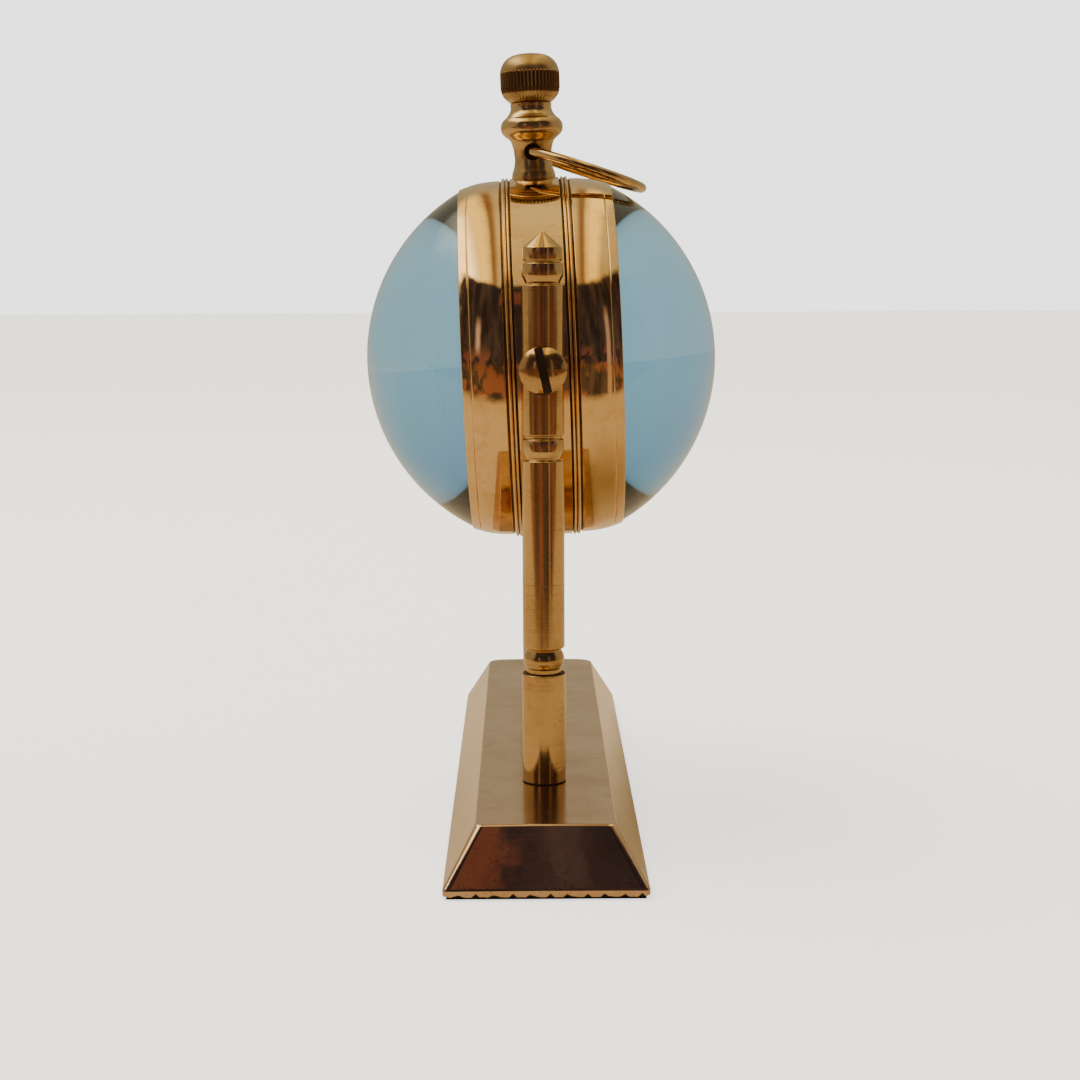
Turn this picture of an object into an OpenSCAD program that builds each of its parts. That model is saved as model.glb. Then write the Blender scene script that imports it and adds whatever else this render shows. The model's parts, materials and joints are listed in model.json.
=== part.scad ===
// Glass-ball desk clock hung between two turned brass posts on a bevelled brass base.
// Origin: middle of the base's underside. +Z up, +X along the base and the pivot axis,
// the dial faces -Y. Millimetres.

/* [Base] */
// Length of the base at its foot
base_l = 136.8; // [130:0.2:150]
// Width of the base at its foot
base_w = 32.2; // [30:0.2:40]
// Height of the base with its pad
base_h = 10.6; // [9:0.2:14]
// How far each bevel leans in between lip and top
base_bevel = 5.1; // [3:0.1:7]
// Height of the straight lip round the foot
lip_h = 1.1; // [0.6:0.1:2]
// Thickness of the pad under the base
pad_h = 0.5; // [0.4:0.1:1]

/* [Posts] */
// Distance from the middle to the axis of each post
post_x = 37.1; // [37:0.1:38]
// Radius of the turned columns
post_r = 3.5; // [3.3:0.1:3.6]
// Radius of the short sleeve that stands on the base
sleeve_r = 3.65; // [3.6:0.05:4.2]
// Height of that sleeve
sleeve_h = 18.5; // [14:0.5:22]
// Height of the pivot axis above the table
pivot_z = 79.8; // [78:0.2:84]
// Radius of the domed head of the pivot screw
screw_head_r = 3.95; // [3.6:0.05:4.4]
// Radius of the pivot pin that carries the head
pivot_pin_r = 1.5; // [1.2:0.1:1.8]

/* [Head] */
// Lean of the head on its pivots, crown towards the dial side, in degrees
head_lean = 2.1; // [0:0.1:6]
// Radius of the flat centre band of the case
case_r = 32.3; // [32.1:0.1:32.4]
// Largest radius of the two bezels
bezel_r = 32; // [31.8:0.1:32.2]
// Half the width across the two bezels' lips
bezel_face = 13.6; // [13.4:0.1:13.8]
// Half the width across the two glass domes
glass_apex = 31.65; // [31:0.05:33]

/* [Crown and bow] */
// Largest radius of the fluted crown
crown_r = 5.35; // [5:0.05:5.8]
// Number of flutes round the crown
flutes = 48; // [36:2:60]
// Radius from the middle of the bow's wire to the middle of its ring
bow_ring_r = 10.65; // [10:0.05:11]
// Radius of the bow's wire
bow_wire_r = 0.85; // [0.7:0.05:0.9]
// How far the resting bow slopes below level, in degrees
bow_drop = 18; // [10:1:20]

/* [Clockwork] */
// Tooth module of the wheels behind the dial
tooth_module = 0.4; // [0.36:0.02:0.4]
// Length of the minute hand
minute_hand_l = 22; // [18:0.5:25]
// Length of the hour hand
hour_hand_l = 14.5; // [11:0.5:17]
// Minutes past the hour that the hands show
shown_minutes = 10; // [0:1:59]
// Hour that the hands show
shown_hour = 10; // [0:1:11]

/* [Hidden] */
$fn = 96;
eps = 0.01;

// Fits
run_gap = 0.05;
seat_gap = 0.02;

// Base and posts, heights above the table
counterbore_r = 4;
counterbore_h = 3;
bolt_r = 2;
bolt_head_r = 3.6;
bolt_head_h = 2.4;
bolt_slot_w = 1.1;
bolt_slot_h = 1;
bolt_grip = 6;
bolt_play = 0.1;
pad_inset = 0.6;
post_foot_z = base_h + sleeve_h;
neck_r = 2.9;
groove_r = 3.1;
bead_r = post_r - 0.06;
bead_h = 3.2;
chamfer_h = 1.1;
foot_bead_z = post_foot_z + 0.8;
column_z = foot_bead_z + bead_h + 0.4;
mid_bead_z = pivot_z - 14.5;
upper_column_z = mid_bead_z + bead_h + 0.6;
top_bead_z = pivot_z + 14.2;
collar_z = top_bead_z + bead_h + 0.3;
cone_z = collar_z + 2.1;
post_top_z = cone_z + 2.4;
collar_r = post_r - 0.2;
tip_r = 0.6;
edge = 0.15;

// Pivot screw, distances from the middle along X
screw_seat_x = post_x + post_r - 0.3;
screw_head_h = 1.6;
screw_slot_w = 1.4;
screw_slot_h = 1.45;
screw_slot_tilt = 12.5;
pin_end_x = case_r - 2;
washer_r = 2.6;

// Case, radii from the dial axis and distances from the middle plane
case_in_r = 29.9;
spigot_r = 30.9;
spigot_w = 8.2;
band_w = 4.35;
rib_r = case_r + 0.15;
rib_w = 0.62;
bezel_start = 6.15;
barrel_end = 9.4;
barrel_drop = 1.38;
bezel_line = 11.9;
glass_back = 9;
glass_r = 34.45;
glass_centre = glass_apex - glass_r;
glass_recess_w = 11.4;
glass_rim_r = spigot_r - seat_gap;
gasket_in_r = case_in_r - 0.7;
groove_h = 0.1;
line_w = 0.12;
lip_in_r = spigot_r - 0.45;
lip_start = 12.4;
dial_w = 5.4;
dial_h = 0.6;
dial_r = 29.6;
rear_window_r = 23.5;
marker_r = 22.4;
marker_l = 3.2;
marker_w = 0.8;
quarter_marker_w = 1.4;
marker_h = 0.2;
hour_hand_w = 6.4;
minute_hand_w = 7.15;
hand_nut_w = 7.6;

// Pendant and crown, heights above the dial axis
stem_r = 1;
stem_bore_r = stem_r + run_gap;
pendant_top = 45.5;
crown_foot = 45.6;
crown_shoulder = 51.2;
crown_top = 54.2;
flute_h = 0.3;
bow_z = 36.8;
bow_recess_r = 1.5;
bow_recess_h = 0.7;
bow_pin_end = 2.2;
bow_knuckle_r = bow_wire_r + 0.1;
bow_foot_x = 3.75;
bow_gap = asin(bow_foot_x / bow_ring_r);
bow_centre = bow_ring_r * cos(bow_gap);
square_w = 1.2;
stem_square_z = 18.5;
stem_end_z = 8.6;
stem_top_z = 50;
clutch_z = 12.6;
clutch_h = 4;
clutch_r = 1.5;

// Movement, positions on the dial plane and heights towards the dial
movement_w = 36;
cover_back = -5.2;
plate_back = 2;
plate_front = 3.2;
cover_wall = 1;
screw_at = 15.2;
screw_r = 0.75;
screw_boss_r = 2.2;
battery_r = 5.8;
battery_h = 5.4;
battery_at = [-8, -8];
coil_at = [1, -14, -1.5];
coil_r = 1.9;
coil_l = 11;
cheek_r = 2.4;
cheek_h = 0.6;
board_at = [3, -9, -3];
board_size = [13.5, 11, 0.6];
quartz_r = 1;
quartz_l = 6;
arbor_r = 0.6;
cannon_r = 1.1;
hour_pipe_r = 1.6;
wheel_gap = tooth_module * 20;
cannon_teeth = 10;
minute_wheel_teeth = 30;
minute_pinion_teeth = 8;
hour_wheel_teeth = 32;
setting_teeth = 10;
setting_module = 0.32;
stud_r = 0.5;
cannon_gear_top = 4;
minute_wheel_top = 3.9;
minute_pinion_top = 5;
hour_wheel_back = 4.25;
hour_wheel_top = 4.9;
hour_pipe_top = 6.7;
arbor_top = 7.4;
stud_top = 5.15;
minute_angle = shown_minutes * 6;
hour_angle = shown_hour * 30 + shown_minutes / 2;

function arc(c, r, a0, a1, n) =
    [for (i = [0:n]) let (a = a0 + (a1 - a0) * i / n) [c[0] + r * cos(a), c[1] + r * sin(a)]];
function bulge(r_in, r_out, z0, z1, n) =
    [for (i = [0:n]) [r_in + (r_out - r_in) * sin(180 * i / n), z0 + (z1 - z0) * i / n]];
function bead(z) =
    [[neck_r, z], [bead_r, z + chamfer_h], [bead_r, z + bead_h - edge], [groove_r, z + bead_h]];
function column(z0, z1) =
    [[post_r - edge, z0], [post_r, z0 + edge], [post_r, z1 - edge], [post_r - edge, z1]];
function barrel(w) = bezel_r - barrel_drop * pow((w - barrel_end) / (bezel_face - barrel_end), 2);

// Places
module head_frame() {
    translate([0, 0, pivot_z]) rotate([head_lean, 0, 0]) children();
}
// x to the right and y to twelve as the dial shows them, z out through the front glass
module face_frame() {
    head_frame() rotate([90, 0, 0]) children();
}
module rear_face_frame() {
    head_frame() rotate([-90, 0, 0]) children();
}
module left_side() {
    mirror([1, 0, 0]) children();
}
module along_x(x) {
    translate([x, 0, pivot_z]) rotate([0, 90, 0]) children();
}

// Stand
module base() {
    foot_x = base_l / 2;
    foot_y = base_w / 2;
    lip_z = pad_h + lip_h;
    color("#9c6b33") difference() {
        intersection() {
            translate([0, base_w, 0]) rotate([90, 0, 0]) linear_extrude(2 * base_w)
                bevel_section(foot_x, lip_z);
            translate([-base_l, 0, 0]) rotate([90, 0, 90]) linear_extrude(2 * base_l)
                bevel_section(foot_y, lip_z);
        }
        for (side = [-1, 1]) translate([side * post_x, 0, 0]) {
            cylinder(r = bolt_r + bolt_play, h = 2 * base_h);
            cylinder(r = counterbore_r, h = pad_h + counterbore_h);
        }
    }
}
module bevel_section(half, lip_z) {
    polygon([[-half, pad_h], [half, pad_h], [half, lip_z], [half - base_bevel, base_h],
        [base_bevel - half, base_h], [-half, lip_z]]);
}
module base_pad() {
    color("#2a211c") translate([pad_inset - base_l / 2, pad_inset - base_w / 2, 0])
        cube([base_l - 2 * pad_inset, base_w - 2 * pad_inset, pad_h]);
}
module right_sleeve() {
    color("#b98a44") translate([post_x, 0, base_h]) rotate_extrude()
        polygon([[bolt_r + bolt_play, 0], [sleeve_r, 0], [sleeve_r, sleeve_h - edge],
            [sleeve_r - edge, sleeve_h], [bolt_r + bolt_play, sleeve_h]]);
}
module left_sleeve() {
    left_side() right_sleeve();
}
module right_post() {
    color("#c08c42") difference() {
        translate([post_x, 0, 0]) rotate_extrude() polygon(concat(
            [[0, post_foot_z], [neck_r, post_foot_z]],
            bulge(neck_r, bead_r, foot_bead_z, foot_bead_z + bead_h, 10),
            [[groove_r, column_z - 0.1]],
            column(column_z, mid_bead_z - 0.4),
            [[neck_r, mid_bead_z - 0.3]],
            bead(mid_bead_z),
            [[groove_r, upper_column_z - 0.1]],
            column(upper_column_z, top_bead_z - 0.4),
            [[neck_r - 0.1, top_bead_z - 0.3]],
            bead(top_bead_z),
            [[groove_r, collar_z], [collar_r, collar_z + edge], [collar_r, cone_z],
                [tip_r, post_top_z - 0.2], [tip_r - edge, post_top_z], [0, post_top_z]]));
        translate([post_x, 0, post_foot_z - 1]) cylinder(r = bolt_r, h = bolt_grip + 1);
        along_x(screw_seat_x) cylinder(r = screw_head_r + 0.1, h = post_r);
        along_x(case_r) cylinder(r = pivot_pin_r, h = 4 * post_r);
    }
}
module left_post() {
    left_side() right_post();
}
module right_base_bolt() {
    head_top_z = pad_h + counterbore_h;
    color("#8f9296") translate([post_x, 0, 0]) {
        translate([0, 0, head_top_z - bolt_head_h]) difference() {
            cylinder(r = bolt_head_r, h = bolt_head_h);
            cube([2 * counterbore_r, bolt_slot_w, 2 * bolt_slot_h], center = true);
        }
        translate([0, 0, head_top_z]) cylinder(r = bolt_r, h = post_foot_z + bolt_grip - head_top_z);
    }
}
module left_base_bolt() {
    left_side() right_base_bolt();
}
module right_pivot_screw() {
    dome_r = (pow(screw_head_r, 2) + pow(screw_head_h, 2)) / (2 * screw_head_h);
    dome_start = asin((dome_r - screw_head_h) / dome_r);
    color("#b07f3e") {
        difference() {
            along_x(screw_seat_x) rotate_extrude() polygon(concat([[0, 0]],
                arc([0, screw_head_h - dome_r], dome_r, dome_start, 90, 10)));
            translate([screw_seat_x + screw_head_h, 0, pivot_z]) rotate([screw_slot_tilt, 0, 0])
                cube([2 * screw_slot_h, screw_slot_w, 3 * screw_head_r], center = true);
        }
        along_x(pin_end_x) cylinder(r = pivot_pin_r, h = screw_seat_x - pin_end_x);
    }
}
module left_pivot_screw() {
    left_side() right_pivot_screw();
}
module right_pivot_washer() {
    color("#d8d4c8") along_x(case_r + run_gap) difference() {
        cylinder(r = washer_r, h = post_x - post_r - case_r - run_gap);
        cylinder(r = pivot_pin_r, h = post_x, center = true);
    }
}
module left_pivot_washer() {
    left_side() right_pivot_washer();
}

// Case: the outline of one half, then its mirror image
function rib(w) = bulge(case_r - 0.2, rib_r, w, w + rib_w, 6);
function half_band() = concat(
    [[case_r, 0], [case_r, band_w]],
    [[case_r - 0.4, band_w + groove_h], [case_r - 0.4, band_w + 2 * groove_h]],
    rib(band_w + 0.25),
    rib(band_w + 0.3 + rib_w),
    [[case_r - 0.5, bezel_start - 0.15], [case_r - 0.5, bezel_start - 0.05],
        [spigot_r, bezel_start - 0.05], [spigot_r, spigot_w], [case_in_r, spigot_w], [case_in_r, 0]]);
module case_band() {
    color("#c4934a") difference() {
        face_frame() for (side = [0, 1]) mirror([0, 0, side]) rotate_extrude() polygon(half_band());
        head_frame() {
            rotate([0, 90, 0]) cylinder(r = pivot_pin_r + run_gap, h = 3 * case_r, center = true);
            cylinder(r = stem_bore_r + 0.1, h = 2 * case_r);
        }
    }
}
module bezel() {
    color("#c08a3c") rotate_extrude() polygon(concat(
        [[spigot_r, bezel_start], [bezel_r - edge, bezel_start], [bezel_r, bezel_start + edge]],
        [for (i = [0:6]) let (w = barrel_end + (bezel_line - barrel_end) * i / 6) [barrel(w), w]],
        [[barrel(bezel_line) - 0.1, bezel_line + line_w]],
        [for (i = [0:5]) let (w = bezel_line + 2 * line_w
            + (bezel_face - bezel_line - 2 * line_w) * i / 5) [barrel(w), w]],
        [[lip_in_r, bezel_face], [spigot_r, lip_start]]));
}
module front_bezel() {
    face_frame() bezel();
}
module rear_bezel() {
    rear_face_frame() bezel();
}
// Solid dome whose flat back is recessed inside its rim, clear of the hands
module glass() {
    color("#8fc2cc", 0.6) difference() {
        intersection() {
            translate([0, 0, glass_centre]) sphere(r = glass_r, $fn = 128);
            translate([0, 0, glass_back]) cylinder(r = glass_rim_r, h = glass_apex);
        }
        cylinder(r = gasket_in_r, h = glass_recess_w);
    }
}
module front_glass() {
    face_frame() glass();
}
module rear_glass() {
    rear_face_frame() glass();
}
module ring(r_in, r_out, w0, w1) {
    rotate_extrude() polygon([[r_in, w0], [r_out, w0], [r_out, w1], [r_in, w1]]);
}
module front_gasket() {
    color("#1d1d1f") face_frame() ring(gasket_in_r, glass_rim_r, spigot_w, glass_back);
}
module rear_gasket() {
    color("#1d1d1f") rear_face_frame() ring(gasket_in_r, glass_rim_r, spigot_w, glass_back);
}
module sloped_ring() {
    color("#d9b36a") rotate_extrude() polygon([[case_in_r - 2, dial_w + dial_h],
        [case_in_r - seat_gap, dial_w + dial_h], [case_in_r - seat_gap, spigot_w],
        [case_in_r - 0.8, spigot_w]]);
}
module front_ring() {
    face_frame() sloped_ring();
}
module rear_ring() {
    rear_face_frame() sloped_ring();
}

// Pendant, crown, stem and bow, with z away from the dial axis
module pendant() {
    color("#c4934a") head_frame() difference() {
        rotate_extrude() polygon(concat(
            [[0, 31], [3.95, 31], [3.95, 32.6], [3.85, 33.2]],
            [[3.55, 34], [3.35, 35], [3.3, 35.8], [3.45, 37.4], [3.7, 38.4], [4, 39.05]],
            arc([3.65, 41.25], 1.95, -50, 60, 12),
            [[4.05, 43.6], [3.75, 44.2], [3.65, 44.8], [3.75, pendant_top], [0, pendant_top]]));
        rotate([90, 0, 0]) cylinder(r = case_r, h = 20, center = true);
        cylinder(r = stem_bore_r, h = 2 * pendant_top);
        translate([0, 0, bow_z]) rotate([0, 90, 0])
            cylinder(r = bow_wire_r + run_gap, h = 20, center = true);
        for (side = [0, 180]) translate([0, 0, bow_z]) rotate([0, 90, side])
            translate([0, 0, 3.4 - bow_recess_h]) cylinder(r = bow_recess_r, h = 5);
    }
}
module crown() {
    star = [for (i = [0:2 * flutes - 1]) let (a = 180 * i / flutes, r = crown_r + 0.05 - (i % 2) * flute_h)
        [r * cos(a), r * sin(a)]];
    dome_h = crown_top - crown_shoulder;
    color("#8a6336") head_frame() difference() {
        intersection() {
            rotate_extrude() polygon(concat(
                [[0, crown_foot], [3.75, crown_foot], [4.3, 46.1], [4.85, 46.7], [5.15, 47.3],
                    [crown_r, 48.2], [crown_r, crown_shoulder - 0.8]],
                [for (i = [1:10]) let (a = 9 * i)
                    [crown_r * pow(cos(a), 0.65), crown_shoulder - 0.8 + (dome_h + 0.8) * sin(a)]]));
            translate([0, 0, crown_foot - 1]) linear_extrude(crown_top) polygon(star);
        }
        cylinder(r = stem_r, h = stem_top_z);
    }
}
module stem() {
    color("#9a9da1") head_frame() {
        translate([0, 0, stem_square_z]) cylinder(r = stem_r, h = stem_top_z - stem_square_z);
        translate([-square_w / 2, -square_w / 2, stem_end_z])
            cube([square_w, square_w, stem_square_z - stem_end_z]);
    }
}
module setting_pinion() {
    color("#c4934a") head_frame() translate([0, 0, stem_end_z]) difference() {
        linear_extrude(1.2) polygon(tooth_outline(setting_teeth, setting_module, 0));
        translate([0, 0, 1]) cube([square_w, square_w, 4], center = true);
    }
}
module clutch_sleeve() {
    color("#9a9da1") head_frame() translate([0, 0, clutch_z]) difference() {
        cylinder(r = clutch_r, h = clutch_h);
        cube([square_w + 2 * run_gap, square_w + 2 * run_gap, 3 * clutch_h], center = true);
    }
}
module stem_bearing() {
    color("#c4934a") head_frame() translate([0, 0, clutch_z + 0.6]) difference() {
        translate([-3, -plate_back, 0]) cube([6, 2 * plate_back, clutch_h - 1.2]);
        translate([0, 0, -1]) cylinder(r = clutch_r + run_gap, h = 2 * clutch_h);
    }
}
// Built with its hinge on X and its loop along +Y, then let down to its slope
module bow() {
    color("#b98a44") translate([0, -bow_z * sin(head_lean), pivot_z + bow_z * cos(head_lean)])
        rotate([-bow_drop, 0, 0]) {
            translate([0, bow_centre, 0]) rotate([0, 0, bow_gap - 90])
                rotate_extrude(angle = 360 - 2 * bow_gap)
                    translate([bow_ring_r, 0]) circle(r = bow_wire_r, $fn = 24);
            for (side = [-1, 1]) translate([side * bow_foot_x, 0, 0]) {
                sphere(r = bow_knuckle_r, $fn = 48);
                rotate([0, -side * 90, 0])
                    cylinder(r = bow_wire_r, h = bow_foot_x - bow_pin_end, $fn = 24);
            }
        }
}

// Dial, plates and hands
module dial() {
    color("#f1ede0") face_frame() translate([0, 0, dial_w]) difference() {
        cylinder(r = dial_r, h = dial_h);
        translate([0, 0, -1]) cylinder(r = hour_pipe_r + 0.15, h = 3);
    }
}
module hour_markers() {
    color("#2b2320") face_frame() for (hour = [0:11]) rotate([0, 0, -30 * hour])
        translate([0, marker_r, dial_w + dial_h + marker_h / 2])
            cube([hour % 3 == 0 ? quarter_marker_w : marker_w, marker_l, marker_h], center = true);
}
module rear_plate() {
    color("#d9b36a") rear_face_frame() ring(rear_window_r, dial_r, dial_w, dial_w + dial_h);
}
module hand(length, width, hub_r) {
    tail = 3.2;
    thick = 0.3;
    difference() {
        union() {
            cylinder(r = hub_r + 1, h = thick);
            linear_extrude(thick) for (side = [0, 1]) mirror([side, 0])
                polygon([[0, -tail], [0.6, -tail], [0.35, length * 0.3], [width / 2, length * 0.62],
                    [0.2, length * 0.92], [0, length]]);
        }
        cylinder(r = hub_r, h = 3 * thick, center = true);
    }
}
module hour_hand() {
    color("#1b1a1e") face_frame() translate([0, 0, hour_hand_w]) rotate([0, 0, -hour_angle])
        hand(hour_hand_l, 2.6, hour_pipe_r);
}
module minute_hand() {
    color("#1b1a1e") face_frame() translate([0, 0, minute_hand_w]) rotate([0, 0, -minute_angle])
        hand(minute_hand_l, 1.9, cannon_r);
}
module hand_nut() {
    color("#c4934a") face_frame() translate([0, 0, hand_nut_w]) rotate_extrude()
        polygon([[0, 0], [1.5, 0], [1.5, 0.25], [1.1, 0.6], [0, 0.7]]);
}

// Wheels: straight-flanked teeth with play, tooth 0 on the given angle
function tooth_outline(teeth, m, phase) =
    let (pitch = 360 / teeth, root = m * (teeth / 2 - 1.2), tip = m * (teeth / 2 + 0.8))
    [for (i = [0:teeth - 1]) for (p = [[-0.27, root], [-0.13, tip], [0.13, tip], [0.27, root]])
        let (a = phase + (i + p[0]) * pitch) [p[1] * cos(a), p[1] * sin(a)]];
module wheel(teeth, phase, w0, w1) {
    translate([0, 0, w0]) linear_extrude(w1 - w0) polygon(tooth_outline(teeth, tooth_module, phase));
}
module minute_place() {
    translate([0, -wheel_gap, 0]) children();
}
module cannon_pinion() {
    color("#c4934a") face_frame() difference() {
        union() {
            wheel(cannon_teeth, -90, plate_front + 0.1, cannon_gear_top);
            translate([0, 0, plate_front + 0.1])
                cylinder(r = cannon_r, h = hand_nut_w - plate_front - 0.1);
        }
        translate([0, 0, plate_front]) cylinder(r = arbor_r + run_gap, h = 6);
    }
}
module minute_wheel() {
    color("#c4934a") face_frame() minute_place() difference() {
        union() {
            wheel(minute_wheel_teeth, 90 + 180 / minute_wheel_teeth, plate_front + 0.2, minute_wheel_top);
            wheel(minute_pinion_teeth, 90, minute_wheel_top - eps, minute_pinion_top);
        }
        translate([0, 0, plate_front]) cylinder(r = stud_r + run_gap, h = 3);
    }
}
module hour_wheel() {
    color("#c4934a") face_frame() difference() {
        union() {
            wheel(hour_wheel_teeth, -90 + 180 / hour_wheel_teeth, hour_wheel_back, hour_wheel_top);
            translate([0, 0, hour_wheel_back])
                cylinder(r = hour_pipe_r, h = hour_pipe_top - hour_wheel_back);
        }
        translate([0, 0, 4]) cylinder(r = cannon_r + run_gap, h = 4);
    }
}
module centre_arbor() {
    color("#9a9da1") face_frame() translate([0, 0, plate_back])
        cylinder(r = arbor_r, h = arbor_top - plate_back);
}
module minute_stud() {
    color("#9a9da1") face_frame() minute_place() translate([0, 0, plate_back])
        cylinder(r = stud_r, h = stud_top - plate_back);
}

// Movement
module at_screws() {
    for (x = [-1, 1], y = [-1, 1]) translate([x * screw_at, y * screw_at, 0]) children();
}
module movement_holder() {
    pocket = movement_w + 0.2;
    color("#d6d2c6") face_frame() difference() {
        translate([0, 0, -dial_w]) cylinder(r = case_in_r - seat_gap, h = 2 * dial_w);
        cube([pocket, pocket, 4 * dial_w], center = true);
        rotate([-90, 0, 0]) cylinder(r = stem_bore_r + 0.3, h = case_r);
    }
}
module main_plate() {
    color("#c9a45c") face_frame() difference() {
        translate([-movement_w / 2, -movement_w / 2, plate_back])
            cube([movement_w, movement_w, plate_front - plate_back]);
        cylinder(r = arbor_r, h = 10);
        minute_place() cylinder(r = stud_r, h = 10);
        at_screws() cylinder(r = screw_r, h = 10);
    }
}
module movement_cover() {
    inner = movement_w - 2 * cover_wall;
    color("#ece9df") face_frame() difference() {
        translate([-movement_w / 2, -movement_w / 2, cover_back])
            cube([movement_w, movement_w, plate_back - cover_back]);
        difference() {
            translate([-inner / 2, -inner / 2, cover_back + cover_wall]) cube([inner, inner, 10]);
            at_screws() cylinder(r = screw_boss_r, h = 20, center = true);
        }
        at_screws() cylinder(r = screw_r, h = 20, center = true);
        translate([battery_at[0], battery_at[1], -10]) cylinder(r = battery_r + 0.2, h = 10);
        rotate([-90, 0, 0]) cylinder(r = stem_bore_r + 0.1, h = case_r);
    }
}
module movement_screws() {
    head_h = 0.6;
    head_r = 1.4;
    slot_w = 0.35;
    slot_h = 0.25;
    color("#9a9da1") face_frame() at_screws() {
        translate([0, 0, cover_back]) cylinder(r = screw_r, h = plate_front - cover_back);
        translate([0, 0, cover_back - head_h]) difference() {
            cylinder(r = head_r, h = head_h);
            cube([3 * head_r, slot_w, 2 * slot_h], center = true);
        }
    }
}
module battery() {
    cap_h = 0.8;
    cap_inset = 1.2;
    color("#c8cacc") face_frame() translate([battery_at[0], battery_at[1], cover_back]) {
        cylinder(r = battery_r, h = battery_h - cap_h);
        translate([0, 0, battery_h - cap_h]) cylinder(r = battery_r - cap_inset, h = cap_h);
    }
}
module battery_clip() {
    clip = [14, 3.2, 0.35];
    color("#c9a45c") face_frame()
        translate([battery_at[0] - clip[0] / 2, battery_at[1] - clip[1] / 2, cover_back - clip[2]])
            cube(clip);
}
module coil() {
    color("#b5622f") face_frame() translate(coil_at) rotate([0, 90, 0]) {
        cylinder(r = coil_r, h = coil_l);
        for (x = [0, coil_l - cheek_h]) translate([0, 0, x]) cylinder(r = cheek_r, h = cheek_h);
    }
}
module circuit_board() {
    color("#2f6b45") face_frame() translate(board_at) cube(board_size);
}
module quartz_can() {
    color("#c8cacc") face_frame()
        translate([board_at[0] + 10, board_at[1] + 1, board_at[2] + board_size[2] + quartz_r])
            rotate([-90, 0, 0]) cylinder(r = quartz_r, h = quartz_l);
}

base();
base_pad();
left_sleeve();
right_sleeve();
left_post();
right_post();
left_base_bolt();
right_base_bolt();
left_pivot_screw();
right_pivot_screw();
left_pivot_washer();
right_pivot_washer();
case_band();
front_bezel();
rear_bezel();
front_glass();
rear_glass();
front_gasket();
rear_gasket();
front_ring();
rear_ring();
pendant();
bow();
crown();
stem();
setting_pinion();
clutch_sleeve();
stem_bearing();
dial();
hour_markers();
rear_plate();
movement_holder();
main_plate();
movement_cover();
movement_screws();
centre_arbor();
minute_stud();
cannon_pinion();
minute_wheel();
hour_wheel();
hour_hand();
minute_hand();
hand_nut();
battery();
battery_clip();
coil();
circuit_board();
quartz_can();
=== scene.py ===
import json
import math

import bmesh
import bpy
from mathutils import Matrix, Vector


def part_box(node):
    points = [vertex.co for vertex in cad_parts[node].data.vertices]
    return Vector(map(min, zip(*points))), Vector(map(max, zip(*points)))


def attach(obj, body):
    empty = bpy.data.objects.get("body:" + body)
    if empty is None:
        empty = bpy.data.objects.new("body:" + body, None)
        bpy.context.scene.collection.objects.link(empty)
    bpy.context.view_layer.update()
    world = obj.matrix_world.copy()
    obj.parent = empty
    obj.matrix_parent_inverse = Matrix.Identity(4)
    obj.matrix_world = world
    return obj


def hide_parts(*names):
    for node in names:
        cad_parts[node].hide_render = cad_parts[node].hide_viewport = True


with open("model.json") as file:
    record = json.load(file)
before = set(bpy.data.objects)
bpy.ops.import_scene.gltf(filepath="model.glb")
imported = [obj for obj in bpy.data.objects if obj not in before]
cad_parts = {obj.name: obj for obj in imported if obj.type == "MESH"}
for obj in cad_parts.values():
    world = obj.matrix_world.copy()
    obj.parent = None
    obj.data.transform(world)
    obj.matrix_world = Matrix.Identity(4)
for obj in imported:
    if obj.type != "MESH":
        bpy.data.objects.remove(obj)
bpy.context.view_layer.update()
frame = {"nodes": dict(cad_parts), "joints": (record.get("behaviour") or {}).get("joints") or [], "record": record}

# Lengths are in millimetres in the CAD model's own frame unless a line says otherwise.
MM = 0.001
JOINTS = {joint["name"]: joint for joint in frame["joints"]}
PIVOT = Vector(JOINTS["head_tilt"]["pos_m"])
BOW_HINGE = Vector(JOINTS["bow_swing"]["pos_m"])
DIAL_AXIS = Vector(JOINTS["minute_turn"]["axis"])
LEAN = math.atan2(DIAL_AXIS.z, DIAL_AXIS.y)

# Places whose Z axis runs up the pendant, out of the dial and out of the rear
HEAD = Matrix.Translation(PIVOT) @ Matrix.Rotation(LEAN, 4, "X")
FACE = HEAD @ Matrix.Rotation(math.pi / 2, 4, "X")
REAR = HEAD @ Matrix.Rotation(-math.pi / 2, 4, "X")
FACES = ((FACE, "front"), (REAR, "rear"))
SIDES = ((1, "right"), (-1, "left"))


# ---------------------------------------------------------------- mesh helpers

def rounded(points, radius, steps, closed=True):
    """The outline with each corner turned into a short curve of about that radius."""
    count = len(points)
    result = []
    for i, (x, y) in enumerate(points):
        if not closed and i in (0, count - 1):
            result.append((x, y))
            continue
        here = Vector((x, y))
        before = Vector(points[i - 1]) - here
        after = Vector(points[(i + 1) % count]) - here
        trim = min(radius, 0.45 * before.length, 0.45 * after.length)
        start = here + before.normalized() * trim
        end = here + after.normalized() * trim
        for k in range(steps + 1):
            t = k / steps
            p = start.lerp(here, t).lerp(here.lerp(end, t), t)
            result.append((p.x, p.y))
    return result


def swell(r_in, r_out, z0, z1, steps=14):
    """Points of a rounded bead between two heights."""
    return [(r_in + (r_out - r_in) * math.sin(math.pi * i / steps), z0 + (z1 - z0) * i / steps)
            for i in range(steps + 1)]


def shade(bm, sharp):
    """Smooth shading, apart from edges that turn by more than that many degrees."""
    for face in bm.faces:
        face.smooth = True
    for edge in bm.edges:
        edge.smooth = len(edge.link_faces) != 2 or edge.calc_face_angle() <= math.radians(sharp)


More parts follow.
